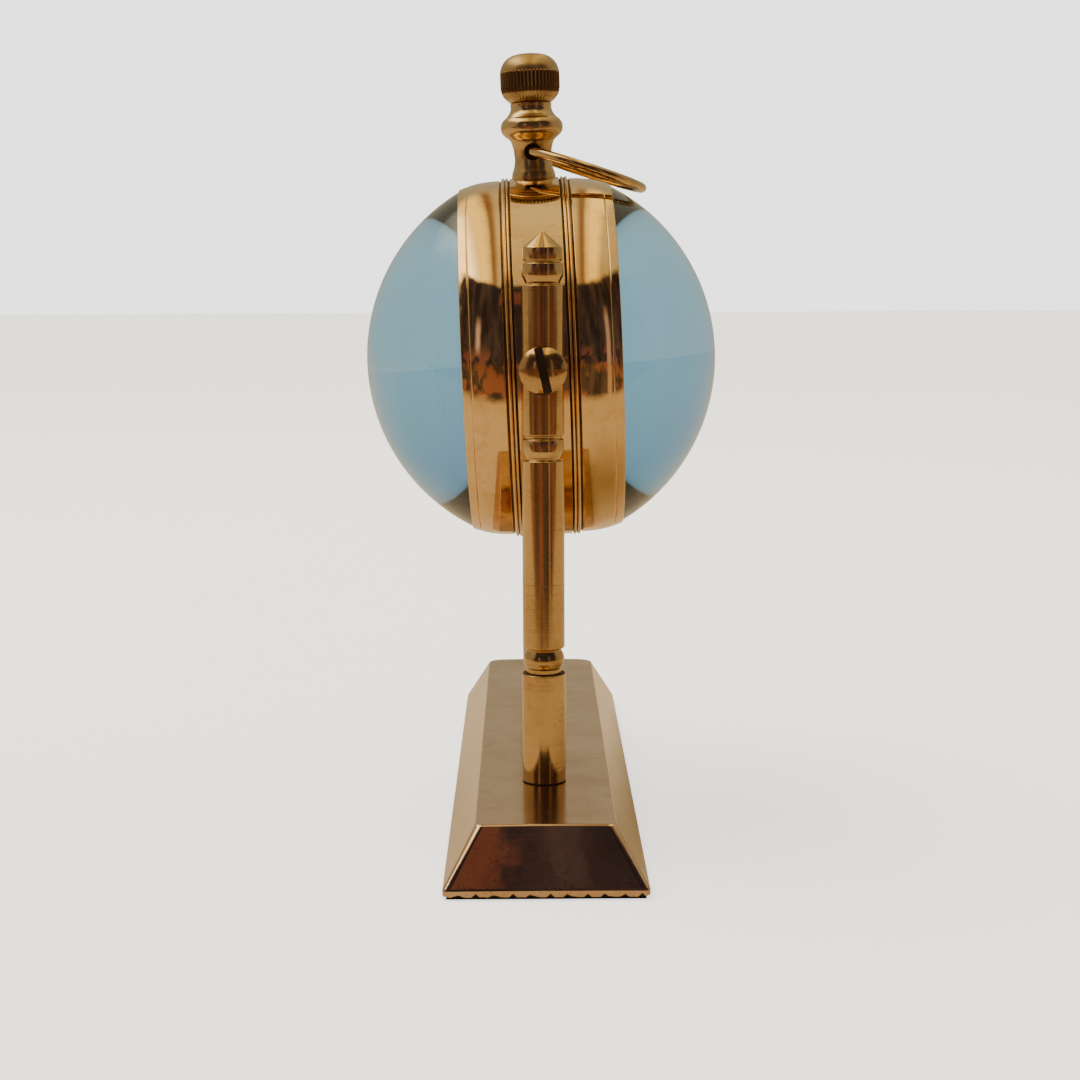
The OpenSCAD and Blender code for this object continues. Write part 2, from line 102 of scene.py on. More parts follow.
def new_object(name, bm):
    mesh = bpy.data.meshes.new(name)
    bm.to_mesh(mesh)
    bm.free()
    item = bpy.data.objects.new(name, mesh)
    bpy.context.scene.collection.objects.link(item)
    return item


def make(name, build, body, slot, replaces=(), sharp=40, material=None):
    """Builds a smooth-shaded piece that rides on a body and takes its finish from a slot."""
    bm = bmesh.new()
    build(bm)
    bmesh.ops.remove_doubles(bm, verts=bm.verts, dist=1e-7)
    bmesh.ops.recalc_face_normals(bm, faces=bm.faces)
    shade(bm, sharp)
    piece = new_object(name, bm)
    piece.data.materials.append(material or MATERIALS[slot])
    weighted = piece.modifiers.new("weighted_normals", "WEIGHTED_NORMAL")
    weighted.keep_sharp = True
    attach(piece, body)
    if replaces:
        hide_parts(*replaces)
    return piece


def spin(bm, outline, place, segments, radius_at=None):
    """Adds the solid swept by a closed outline of (radius, height) turned round place's Z axis."""
    rings = []
    for r, h in outline:
        if r < 1e-6:
            rings.append([bm.verts.new(place @ Vector((0, 0, h * MM)))])
            continue
        ring = []
        for s in range(segments):
            a = 2 * math.pi * s / segments
            reach = (radius_at(r, h, a) if radius_at else r) * MM
            ring.append(bm.verts.new(place @ Vector((reach * math.cos(a), reach * math.sin(a), h * MM))))
        rings.append(ring)
    for i, low in enumerate(rings):
        high = rings[(i + 1) % len(rings)]
        if len(low) == 1 and len(high) == 1:
            continue
        for s in range(segments):
            t = (s + 1) % segments
            corners = [low[s % len(low)], low[t % len(low)], high[t % len(high)], high[s % len(high)]]
            bm.faces.new(list(dict.fromkeys(corners)))


def turned(name, outline, place, segments, *finish, radius_at=None, **more):
    """A piece turned on a lathe: the outline swept round place's Z axis."""
    return make(name, lambda bm: spin(bm, outline, place, segments, radius_at), *finish, **more)


def tube(bm, points, radius, sides):
    """Adds a round wire with closed ends through points in metres."""
    rings = []
    side = None
    for i, point in enumerate(points):
        ahead = points[min(i + 1, len(points) - 1)] - points[max(i - 1, 0)]
        ahead.normalize()
        side = ahead.orthogonal() if side is None else side - ahead * side.dot(ahead)
        side.normalize()
        up = ahead.cross(side)
        rings.append([bm.verts.new(point + radius * (side * math.cos(a) + up * math.sin(a)))
                      for a in (2 * math.pi * k / sides for k in range(sides))])
    join_rings(bm, rings)


def join_rings(bm, rings):
    """Skins rings of equally many corners one after the other and closes both ends."""
    count = len(rings[0])
    for low, high in zip(rings, rings[1:]):
        for k in range(count):
            n = (k + 1) % count
            bm.faces.new((low[k], low[n], high[n], high[k]))
    bm.faces.new(rings[0])
    bm.faces.new(rings[-1])


def cutter(build):
    """A solid to take away from a piece."""
    bm = bmesh.new()
    build(bm)
    bmesh.ops.recalc_face_normals(bm, faces=bm.faces)
    return new_object("cutter", bm)


def drum(radius, start, end, place, segments):
    """A plain cylinder to cut with, from one height to another along place's Z axis."""
    outline = [(0, start), (radius, start), (radius, end), (0, end)]
    return cutter(lambda bm: spin(bm, outline, place, segments))


def cut(piece, *cutters):
    """Takes the cutters away from a piece with booleans and keeps only the result."""
    for item in cutters:
        step = piece.modifiers.new("cut", "BOOLEAN")
        step.operation = "DIFFERENCE"
        step.solver = "EXACT"
        step.object = item
        piece.modifiers.move(len(piece.modifiers) - 1, len(piece.modifiers) - 2)
    bpy.context.view_layer.update()
    shape = piece.evaluated_get(bpy.context.evaluated_depsgraph_get())
    bm = bmesh.new()
    bm.from_mesh(bpy.data.meshes.new_from_object(shape))
    shade(bm, 35)
    bm.to_mesh(piece.data)
    bm.free()
    for step in [m for m in piece.modifiers if m.type == "BOOLEAN"]:
        piece.modifiers.remove(step)
    for item in cutters:
        bpy.data.objects.remove(item)


def darken(piece, place, test, material=None):
    """Gives painted shade, or another material, to the faces whose middle passes the test.

    The test takes the middle's radius about place's Z axis and its height along it, in mm.
    """
    piece.data.materials.append(material or PAINTED_SHADE)
    to_place = place.inverted()
    for face in piece.data.polygons:
        middle = to_place @ face.center / MM
        if test(math.hypot(middle.x, middle.y), middle.z):
            face.material_index = 1


# ---------------------------------------------------------------- shader helpers

class Nodes:
    """Short names for the nodes of one material or world."""

    def __init__(self, owner):
        self.owner = owner
        owner.use_nodes = True
        self.tree = owner.node_tree
        self.tree.nodes.clear()

    def add(self, kind, inputs=None, **settings):
        node = self.tree.nodes.new(kind)
        for key, value in settings.items():
            setattr(node, key, value)
        for key, value in (inputs or {}).items():
            self.set(node.inputs[key], value)
        return node

    def set(self, socket, value):
        if isinstance(value, bpy.types.NodeSocket):
            self.tree.links.new(value, socket)
        else:
            socket.default_value = value

    def here(self):
        return self.add("ShaderNodeTexCoord").outputs["Object"]

    def split(self, vector):
        return self.add("ShaderNodeSeparateXYZ", {"Vector": vector}).outputs

    def join(self, **parts):
        return self.add("ShaderNodeCombineXYZ", parts).outputs["Vector"]

    def scaled(self, vector, scale):
        return self.add("ShaderNodeMapping", {"Vector": vector, "Scale": scale}).outputs["Vector"]

    def noise(self, vector, scale, detail=3.0, rough=0.5):
        inputs = {"Vector": vector, "Scale": scale, "Detail": detail, "Roughness": rough}
        return self.add("ShaderNodeTexNoise", inputs).outputs["Fac"]

    def along(self, axis, scale, detail=2.0):
        """Noise that changes only along one direction, such as the rings a lathe leaves."""
        height = self.vectors("DOT_PRODUCT", self.here(), axis).outputs["Value"]
        return self.noise(self.join(X=height), scale, detail)

    def dots(self, vector, scale, size, wear=0.5):
        """Small pits: 1 inside a pit and 0 outside, in patches."""
        cells = self.add("ShaderNodeTexVoronoi", {"Vector": vector, "Scale": scale})
        inside = self.ramp(cells.outputs["Distance"], (0, 1), (size, 0))
        patch = self.ramp(self.noise(vector, scale / 12, 2.0), (wear, 0), (wear + 0.12, 1))
        return self.times(inside, patch)

    def ramp(self, value, start, end):
        """Runs from start to end, each an input value and its result, and stays level outside them."""
        inputs = {"Value": value, "From Min": start[0], "From Max": end[0],
                  "To Min": start[1], "To Max": end[1]}
        return self.add("ShaderNodeMapRange", inputs, clamp=True).outputs["Result"]

    def band(self, value, start, end, soft):
        """1 between start and end, 0 outside, with soft edges."""
        rise = self.ramp(value, (start - soft, 0.0), (start + soft, 1.0))
        fall = self.ramp(value, (end - soft, 1.0), (end + soft, 0.0))
        return self.times(rise, fall)

    def math(self, operation, a, b=0.0):
        return self.add("ShaderNodeMath", {0: a, 1: b}, operation=operation).outputs["Value"]

    def vectors(self, operation, a, b=(0.0, 0.0, 0.0)):
        return self.add("ShaderNodeVectorMath", {0: a, 1: b}, operation=operation)

    def times(self, a, b):
        return self.math("MULTIPLY", a, b)

    def plus(self, a, b):
        return self.math("ADD", a, b)

    def mix(self, amount, a, b):
        node = self.add("ShaderNodeMix", data_type="RGBA")
        self.set(node.inputs["Factor"], amount)
        self.set(node.inputs["A"], a)
        self.set(node.inputs["B"], b)
        return node.outputs["Result"]

    def bump(self, height, distance, strength=1.0, normal=None):
        inputs = {"Height": height, "Distance": distance, "Strength": strength}
        if normal is not None:
            inputs["Normal"] = normal
        return self.add("ShaderNodeBump", inputs).outputs["Normal"]

    def surface(self, **inputs):
        """Ends the material in a Principled shader and returns the material."""
        named = {key.replace("_", " "): value for key, value in inputs.items()}
        shader = self.add("ShaderNodeBsdfPrincipled", named)
        self.add("ShaderNodeOutputMaterial", {"Surface": shader.outputs["BSDF"]})
        return self.owner


def new_material(name):
    return Nodes(bpy.data.materials.new(name))


def rgb(r, g, b):
    return (r, g, b, 1.0)


# ---------------------------------------------------------------- materials

# Added roughness of the base's rubbed top face, and the height over which it sets in
SATIN = 0.15
SATIN_EDGE = 0.4
PIT_COLOUR = rgb(0.06, 0.03, 0.015)


def brass_tone(n, here, cloud, light, dark, stained, stain):
    """The lacquer's tone, wandering between light and dark, with stained blots."""
    fine = n.noise(here, 1400.0, 3.0)
    tone = n.ramp(n.plus(n.times(cloud, 0.8), n.times(fine, 0.2)), (0.38, 0.0), (0.66, 1.0))
    blot = n.ramp(n.noise(here, 260.0, 5.0, 0.65), (0.56, 0.0), (0.72, 1.0))
    return n.mix(n.times(blot, stain), n.mix(tone, rgb(*light), rgb(*dark)), stained)


def hairlines(n, here):
    """Fine scratches up and across."""
    upright = n.noise(n.scaled(here, (120.0, 120.0, 3800.0)), 1.0, 4.0, 0.7)
    cross = n.noise(n.scaled(here, (3000.0, 160.0, 160.0)), 1.0, 4.0, 0.7)
    return n.ramp(n.math("MAXIMUM", upright, cross), (0.62, 0.0), (0.78, 1.0))


def lathe_rings(n, here, axis):
    """The height of the rings that turning leaves, and the dirt lines in them, which are worn in places."""
    ring = n.plus(n.times(n.along(axis, 1300.0, 4.0), 0.5), n.times(n.along(axis, 5200.0, 3.0), 0.5))
    worn = n.ramp(n.noise(here, 130.0, 3.0), (0.40, 0.25), (0.60, 1.0))
    return ring, n.times(n.ramp(ring, (0.52, 0.0), (0.62, 1.0)), worn)


def brass(name, light, dark, rough, axis=None, rings=0.0, scratches=0.3, pits=0.3, stain=0.4,
          satin_from=None):
    """Lacquered brass with stains, pits and scratches, lathe rings about an axis, satin above a height."""
    n = new_material(name)
    here = n.here()
    stained = rgb(dark[0] * 0.55, dark[1] * 0.45, dark[2] * 0.4)
    cloud = n.noise(here, 90.0, 4.0, 0.55)
    hole = n.dots(here, 1500.0, 0.28)
    scratch = hairlines(n, here)
    colour = brass_tone(n, here, cloud, light, dark, stained, stain)
    colour = n.mix(n.times(hole, pits), colour, PIT_COLOUR)
    roughness = n.ramp(cloud, (0.3, rough * 0.7), (0.7, rough * 1.4))
    roughness = n.plus(roughness, n.times(scratch, 0.12 * scratches))
    height = n.plus(n.times(scratch, -0.5 * scratches), n.times(hole, -pits))
    if satin_from is not None:
        level = n.split(here)["Z"]
        satin = n.ramp(level, (satin_from - SATIN_EDGE * MM, 0.0), (satin_from, SATIN))
        roughness = n.plus(roughness, satin)
    if axis is not None:
        ring, line = lathe_rings(n, here, axis)
        colour = n.mix(n.times(line, 0.6 * rings), colour, stained)
        height = n.plus(height, n.times(ring, rings))
        roughness = n.plus(roughness, n.times(line, 0.16 * rings))
    normal = n.bump(height, 0.006 * MM)
    wave = n.bump(n.noise(here, 160.0, 2.0), 0.05 * MM, 0.35, normal)
    return n.surface(Base_Color=colour, Metallic=1.0, Roughness=roughness, Normal=wave)


def glass(name, tint):
    """Thick clear glass with faint smears, a few specks and a slightly wavy face."""
    n = new_material(name)
    here = n.here()
    smear = n.ramp(n.noise(here, 70.0, 4.0, 0.6), (0.45, 0.0), (0.75, 0.05))
    speck = n.dots(here, 420.0, 0.09, 0.55)
    colour = n.mix(speck, rgb(*tint), rgb(0.25, 0.32, 0.34))
    wave = n.bump(n.noise(here, 40.0, 1.0), 0.02 * MM, 0.3)
    return n.surface(Base_Color=colour, Roughness=smear, IOR=1.5, Transmission_Weight=1.0, Normal=wave)


def plain(name, light, dark, rough, grain=900.0, metallic=0.0, depth=0.01, ring_axis=None):
    """Painted, moulded or drawn material: two close tones, uneven gloss and a fine grain."""
    n = new_material(name)
    here = n.here()
    blot = n.noise(here, grain / 8, 4.0, 0.6)
    fine = n.along(ring_axis, grain * 4, 3.0) if ring_axis else n.noise(here, grain, 3.0, 0.6)
    colour = n.mix(n.ramp(blot, (0.35, 0.0), (0.7, 1.0)), rgb(*light), rgb(*dark))
    gloss = n.ramp(fine, (0.3, rough * 0.8), (0.7, rough * 1.25))
    return n.surface(Base_Color=colour, Metallic=metallic, Roughness=gloss,
                     Normal=n.bump(fine, depth * MM, 0.6))


UP = (0.0, 0.0, 1.0)
ALONG_PIVOT = (1.0, 0.0, 0.0)
DIAL = tuple(DIAL_AXIS)
BASE_LOW, BASE_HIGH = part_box("base")
MATERIALS = {
    "satin_brass": brass("satin_brass", (0.68, 0.455, 0.285), (0.54, 0.325, 0.18), 0.03, scratches=0.7,
                         pits=0.5, stain=0.25, satin_from=BASE_HIGH.z),
    "turned_brass": brass("turned_brass", (0.60, 0.39, 0.18), (0.47, 0.28, 0.11), 0.12, UP, 0.8,
                          scratches=0.7, pits=0.7),
    "polished_brass": brass("polished_brass", (0.82, 0.55, 0.27), (0.70, 0.42, 0.17), 0.05, DIAL, 0.12,
                            scratches=0.35, pits=0.5),
    "worn_brass": brass("worn_brass", (0.62, 0.42, 0.20), (0.45, 0.28, 0.12), 0.20, UP, 0.4,
                        scratches=0.6, pits=0.5),
    "crown_brass": brass("crown_brass", (0.52, 0.35, 0.17), (0.38, 0.23, 0.10), 0.32),
    "ring_brass": brass("ring_brass", (0.82, 0.58, 0.28), (0.70, 0.44, 0.17), 0.22, DIAL, 0.5),
    "wheel_brass": brass("wheel_brass", (0.80, 0.55, 0.25), (0.68, 0.41, 0.15), 0.25),
    "glass": glass("glass", (0.90, 0.965, 0.98)),
    "gasket_rubber": plain("gasket_rubber", (0.02, 0.02, 0.02), (0.035, 0.035, 0.035), 0.7),
    "pad": plain("pad", (0.035, 0.025, 0.02), (0.07, 0.05, 0.035), 0.9, 700.0, depth=0.06),
    "steel": plain("steel", (0.55, 0.56, 0.58), (0.45, 0.46, 0.48), 0.28, 1200.0, 1.0),
    "cell_steel": plain("cell_steel", (0.75, 0.76, 0.78), (0.62, 0.63, 0.65), 0.2, 1500.0, 1.0),
    "white_plastic": plain("white_plastic", (0.72, 0.70, 0.64), (0.62, 0.60, 0.54), 0.5),
    "cover_plastic": plain("cover_plastic", (0.82, 0.80, 0.74), (0.74, 0.72, 0.66), 0.45),
    "dial_enamel": plain("dial_enamel", (0.88, 0.86, 0.79), (0.83, 0.80, 0.72), 0.25, 500.0, depth=0.004),
    "black_paint": plain("black_paint", (0.012, 0.012, 0.014), (0.03, 0.028, 0.03), 0.22),
    "copper_wire": plain("copper_wire", (0.75, 0.30, 0.13), (0.55, 0.20, 0.08), 0.3, 1800.0, 1.0, 0.08,
                         ALONG_PIVOT),
    "green_board": plain("green_board", (0.04, 0.20, 0.09), (0.02, 0.13, 0.06), 0.35),
}
WIRE_BRASS = brass("wire_brass", (0.66, 0.45, 0.22), (0.48, 0.30, 0.13), 0.16, scratches=0.6, pits=0.5)
FLUTE_SHADE = brass("flute_shade", (0.20, 0.12, 0.06), (0.13, 0.075, 0.035), 0.45)
GROUND_GLASS = plain("ground_glass", (0.045, 0.055, 0.065), (0.075, 0.085, 0.095), 0.4)
# Painted shade: a dark finish for the lip's foot, the sleeves' ends, the screw slots and the bow's holes, where
# shade falls
PAINTED_SHADE = plain("painted_shade", (0.030, 0.018, 0.010), (0.06, 0.035, 0.018), 0.6, 1500.0)
for part in frame["record"]["subparts"]:
    node = frame["nodes"][part["node"]]
    node.data.materials.clear()
    node.data.materials.append(MATERIALS[part["material_slot"]])


# ---------------------------------------------------------------- camera, light and floor

CAMERA_AT = Vector((359.9, -2.67, 98.54)) * MM
CAMERA_YAW = -0.0065
CAMERA_PITCH = 0.1446
CAMERA_ROLL = -0.004
FOCAL_SHARE = 1965.0 / 1080.0
SENSOR = 36.0
# Where the floor's mirrored shapes are seen from
BALL_MIDDLE = (0.0, 0.0, 0.06)


def camera():
    """Stands on the pivot axis beyond the right post, a little above the ball, looking slightly down."""
    ahead = Vector((-math.cos(CAMERA_YAW), -math.sin(CAMERA_YAW), 0))
    right = Vector((-math.sin(CAMERA_YAW), math.cos(CAMERA_YAW), 0))
    up = Vector(UP)
    view = ahead * math.cos(CAMERA_PITCH) - up * math.sin(CAMERA_PITCH)
    top = up * math.cos(CAMERA_PITCH) + ahead * math.sin(CAMERA_PITCH)
    turned_right = right * math.cos(CAMERA_ROLL) + top * math.sin(CAMERA_ROLL)
    turned_top = top * math.cos(CAMERA_ROLL) - right * math.sin(CAMERA_ROLL)
    data = bpy.data.cameras.new("camera")
    data.sensor_width = SENSOR
    data.lens = FOCAL_SHARE * SENSOR
    data.clip_start = 0.01
    item = bpy.data.objects.new("camera", data)
    turn = Matrix((turned_right, turned_top, -view)).transposed().to_4x4()
    item.matrix_world = Matrix.Translation(CAMERA_AT) @ turn
    bpy.context.scene.collection.objects.link(item)
    bpy.context.scene.camera = item


def top_light(at, aim, size, power, colour):
    """A soft light above, which neither brass nor glass shows as a square."""
    data = bpy.data.lights.new("top_light", "AREA")
    data.shape = "SQUARE"
    data.size = size
    data.energy = power
    data.color = colour
    item = bpy.data.objects.new("top_light", data)
    item.location = Vector(at)
    item.rotation_mode = "QUATERNION"
    item.rotation_quaternion = (Vector(aim) - Vector(at)).to_track_quat("-Z", "Y")
    item.visible_glossy = False
    item.visible_transmission = False
    bpy.context.scene.collection.objects.link(item)


def dim_room(n, way):
    """The unlit room behind the camera along a direction: dark upright shapes, warm patches, two lamps.

    A turn is the direction's angle from +X in the ground plane, and a height is its Z.
    """
    parts = n.split(way)
    turn = n.math("ARCTAN2", parts["Y"], parts["X"])
    height = parts["Z"]
    shapes = n.noise(n.join(X=turn, Y=n.times(height, 0.3)), 7.0, 4.0, 0.6)
    room = n.mix(n.ramp(shapes, (0.44, 0.0), (0.64, 1.0)), rgb(0.036, 0.030, 0.040), rgb(0.105, 0.08, 0.085))
    patch = n.ramp(n.noise(n.join(X=turn, Y=height, Z=3.0), 6.5, 3.0), (0.50, 0.0), (0.56, 1.0))
    room = n.mix(n.times(patch, n.band(height, -0.7, 0.12, 0.08)), room, rgb(0.27, 0.12, 0.10))
    broad = n.times(n.band(turn, -0.09, -0.030, 0.006), n.band(height, 0.60, 0.70, 0.006))
    narrow = n.times(n.band(turn, -0.05, -0.014, 0.006), n.band(height, 0.664, 0.671, 0.003))
    room = n.mix(n.math("MAXIMUM", broad, narrow), room, rgb(0.20, 0.085, 0.065))
    dial_side = n.times(n.band(turn, -0.52, -0.43, 0.03), n.band(height, 0.12, 0.42, 0.06))
    room = n.mix(dial_side, room, rgb(0.80, 0.62, 0.60))
    rear_side = n.times(n.band(turn, 0.50, 0.58, 0.02), n.band(height, -0.5, 0.50, 0.06))
    return n.mix(rear_side, room, rgb(0.55, 0.40, 0.34))


def through_glass(n, path):
    """1 for what is seen straight through the domes, and 0 for the light that falls on the dial inside."""
    return n.times(path["Is Transmission Ray"], n.math("LESS_THAN", path["Diffuse Depth"], 0.5))


def glass_view(n, way):
    """What the clear domes show of the pale blue studio: more violet on the rear side, paler below."""
    parts = n.split(way)
    level = n.mix(n.ramp(parts["Y"], (-0.3, 0.0), (0.3, 1.0)), rgb(0.14, 0.37, 0.47), rgb(0.165, 0.345, 0.47))
    return n.mix(n.ramp(parts["Z"], (-0.4, 0.0), (0.4, 1.0)), rgb(0.28, 0.54, 0.64), level)


def bright_sky(n, parts, height):
    """Pale walls under a warm ceiling, which has a window on the dial side and strips beside the middle."""
    wall = n.mix(n.ramp(parts["X"], (0.1, 0.0), (-0.5, 1.0)), rgb(0.48, 0.41, 0.29), rgb(0.50, 0.45, 0.31))
    sky = n.mix(n.ramp(height, (0.50, 0.0), (0.95, 1.0)), wall, rgb(0.98, 0.83, 0.46))
    overhead = n.ramp(height, (0.56, 0.0), (0.72, 1.0))
    aside = n.math("ABSOLUTE", n.plus(parts["Y"], 0.03))
    sky = n.mix(n.times(n.band(aside, 0.06, 0.13, 0.02), overhead), sky, rgb(0.42, 0.26, 0.12))
    sky = n.mix(n.times(n.band(aside, 0.16, 0.34, 0.05), overhead), sky, rgb(2.0, 1.6, 0.55))
    return n.mix(n.times(n.band(parts["Y"], -0.72, -0.40, 0.07), overhead), sky, rgb(3.8, 3.5, 2.6))


def studio():
    """Soft surroundings: the bright sky, the dim room that brass mirrors, and a pale backdrop."""
    world = bpy.data.worlds.new("studio")
    n = Nodes(world)
    way = n.add("ShaderNodeTexCoord").outputs["Generated"]
    parts = n.split(way)
    waver = n.math("SUBTRACT", n.noise(way, 3.5, 3.0), 0.5)
    turn = n.plus(n.math("ARCTAN2", parts["Y"], parts["X"]), n.times(waver, 0.7))
    height = n.plus(parts["Z"], n.times(waver, 0.10))
    dim = n.times(n.band(turn, -1.05, 1.3, 0.1), n.band(height, -0.9, 0.77, 0.015))
    seen = n.mix(dim, bright_sky(n, parts, height), dim_room(n, way))
    path = n.add("ShaderNodeLightPath").outputs
    seen = n.mix(through_glass(n, path), seen, glass_view(n, way))
    shown = n.mix(path["Is Camera Ray"], seen, rgb(2.6, 2.6, 2.6))
    glow = n.add("ShaderNodeBackground", {"Color": shown, "Strength": 1.0})
    n.add("ShaderNodeOutputWorld", {"Surface": glow.outputs["Background"]})
    bpy.context.scene.world = world


def floor_paper():
    """Pale paper to the camera, the dim room's floor to what brass mirrors beyond the right end."""
    n = new_material("floor_paper")
    here = n.here()
    path = n.add("ShaderNodeLightPath").outputs
    paper = n.mix(n.ramp(n.noise(here, 6.0, 3.0), (0.3, 0.0), (0.7, 1.0)), rgb(0.80, 0.80, 0.80),
                  rgb(0.82, 0.82, 0.82))
    edge = n.plus(n.split(here)["X"], n.times(n.noise(here, 14.0, 3.0), 0.08))
    through = through_glass(n, path)
    mirrored = n.math("SUBTRACT", 1.0, n.math("MAXIMUM", path["Is Camera Ray"], through))
    unlit = n.times(n.ramp(edge, (0.22, 0.0), (0.27, 1.0)), mirrored)
    from_ball = n.vectors("SUBTRACT", here, BALL_MIDDLE).outputs["Vector"]
    way = n.vectors("NORMALIZE", from_ball).outputs["Vector"]
    colour = n.mix(mirrored, paper, rgb(0.58, 0.49, 0.38))
    colour = n.mix(unlit, colour, dim_room(n, way))
    colour = n.mix(through, colour, rgb(0.0, 0.0, 0.0))
    glow = n.mix(through, rgb(1.45, 1.45, 1.45), glass_view(n, way))
    grain = n.bump(n.noise(here, 900.0, 3.0), 0.02 * MM, 0.3)
    return n.surface(Base_Color=colour, Roughness=0.9, Normal=grain, Emission_Color=glow,
                     Emission_Strength=n.math("SUBTRACT", 1.0, mirrored))


def floor(size=3.0):
    mesh = bpy.data.meshes.new("floor")
    corners = [(-size, -size, 0), (size, -size, 0), (size, size, 0), (-size, size, 0)]
    mesh.from_pydata(corners, [], [(0, 1, 2, 3)])
    mesh.materials.append(floor_paper())
    item = bpy.data.objects.new("floor", mesh)
    bpy.context.scene.collection.objects.link(item)


camera()
studio()
floor()
top_light(at=(-0.25, -0.30, 0.90), aim=(0, 0, 0.05), size=0.6, power=6.0, colour=(1.0, 0.96, 0.90))


# ---------------------------------------------------------------- base

BASE_FOOT = BASE_LOW.z / MM
BASE_TOP = BASE_HIGH.z / MM
BASE_HALF = Vector((BASE_HIGH.x, BASE_HIGH.y)) / MM
LIP_H = 1.1
BEVEL_RUN = 5.1
CORNER_R = 0.7
# How much the corners of the near and the far end soften towards the top
CORNER_GROWTH = {1: 0.4, -1: 2.0}
CORNER_STEPS = 6
LONG_STEPS = 120
SHORT_STEPS = 48
# The ring of the base's outline that is the lip's lower edge, and how high its chips go
CHIPPED_RING = 2
CHIP_H = 0.38
# How high above the foot the lip is painted dark, as painted shade under the base's edge
CHIP_SHADE = 0.37
# How far the top falls at its corners, and the share of the half length where that starts
END_DROP = 0.45
DROP_START = 0.75


def base_profile():
    """(inset, height) from under the foot, up the lip and the bevel, to the top face."""
    edge = [(0, BASE_FOOT), (0, BASE_FOOT + LIP_H), (BEVEL_RUN, BASE_TOP), (BEVEL_RUN + 3, BASE_TOP)]
    return [(0.6, BASE_FOOT), (0.4, BASE_FOOT + 0.02)] + rounded(edge, 0.3, 4, closed=False)


def base_loop(inset, z):
    """A rounded rectangle at one height, with many points along its sides."""
    share = (z - BASE_FOOT) / (BASE_TOP - BASE_FOOT)
    a, b = BASE_HALF.x - inset, BASE_HALF.y - inset
    arcs = []
    for cx, cy, start in ((1, 1, 0), (-1, 1, 90), (-1, -1, 180), (1, -1, 270)):
        r = CORNER_R + CORNER_GROWTH[cx] * share
        turns = [math.radians(start + 90 * k / CORNER_STEPS) for k in range(CORNER_STEPS + 1)]
        arcs.append([Vector((cx * (a - r) + r * math.cos(t), cy * (b - r) + r * math.sin(t), z))
                     for t in turns])
    loop = []
    for i, arc in enumerate(arcs):
        steps = LONG_STEPS if i % 2 == 0 else SHORT_STEPS
        following = arcs[(i + 1) % len(arcs)][0]
        loop += arc + [arc[-1].lerp(following, k / steps) for k in range(1, steps)]
    return loop


def base_block(bm):
    """A loft whose top falls a little towards its corners and whose lip is chipped along its foot."""
    rings = []
    for index, (inset, z) in enumerate(base_profile()):
        share = (z - BASE_FOOT) / (BASE_TOP - BASE_FOOT)
        ring = []
        for p in base_loop(inset, z):
            end = max(0.0, abs(p.x) / BASE_HALF.x - DROP_START) / (1 - DROP_START)
            drop = END_DROP * end ** 2 * (abs(p.y) / BASE_HALF.y) ** 2 * share
            chip = 0.0
            if index == CHIPPED_RING:
                along = p.x + 2 * p.y
                chip = CHIP_H * max(0.0, math.sin(1.1 * along) + 0.7 * math.sin(2.7 * along + 1) + 0.1)
            ring.append(bm.verts.new(Vector((p.x, p.y, z - drop + chip)) * MM))
        rings.append(ring)
    join_rings(bm, rings)


base = make("base_block", base_block, "stand", "satin_brass", ["base"])
# Painted shade: the lip's chipped foot is painted dark where it faces down under the base's edge
darken(base, Matrix.Identity(4), lambda r, z: z < BASE_FOOT + CHIP_SHADE)


# ---------------------------------------------------------------- posts and pivot screws

SLEEVE_LOW, SLEEVE_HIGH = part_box("right_sleeve")
POST_LOW, POST_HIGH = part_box("right_post")
SCREW_LOW, SCREW_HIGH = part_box("right_pivot_screw")
POST_X = (SLEEVE_LOW.x + SLEEVE_HIGH.x) / 2 / MM
SLEEVE_TOP = SLEEVE_HIGH.z / MM
SLEEVE_R = (SLEEVE_HIGH.y - SLEEVE_LOW.y) / 2 / MM
SLEEVE_BORE_R = 2.1
POST_R = (POST_HIGH.y - POST_LOW.y) / 2 / MM
POST_TOP = POST_HIGH.z / MM
PIVOT_Z = PIVOT.z / MM
SCREW_R = (SCREW_HIGH.y - SCREW_LOW.y) / 2 / MM
SCREW_END = SCREW_LOW.x / MM
SCREW_TOP = SCREW_HIGH.x / MM
SCREW_SEAT = POST_X + POST_R - 0.3
SCREW_RISE = SCREW_TOP - SCREW_SEAT
SCREW_DOME = (SCREW_R ** 2 + SCREW_RISE ** 2) / (2 * SCREW_RISE)
SHANK_R = 1.5
# The flat on the post that the screw's head sits on
SEAT_R = 4.05
SEAT_CLEAR = 4
SLOT_DEPTH = 1.45
SLOT_W = 1.4
SLOT_TILT = math.radians(12.5)


def pivot_place(side):
    """The pivot axis, running out through the right or the left post."""
    return Matrix.Translation(Vector((0, 0, PIVOT.z))) @ Matrix.Rotation(side * math.pi / 2, 4, "Y")


def sleeve_outline():
    points = [(SLEEVE_BORE_R, BASE_TOP), (SLEEVE_R, BASE_TOP), (SLEEVE_R, SLEEVE_TOP - 0.1),
              (SLEEVE_R - 0.12, SLEEVE_TOP), (SLEEVE_BORE_R, SLEEVE_TOP)]
    return rounded(points, 0.22, 3)


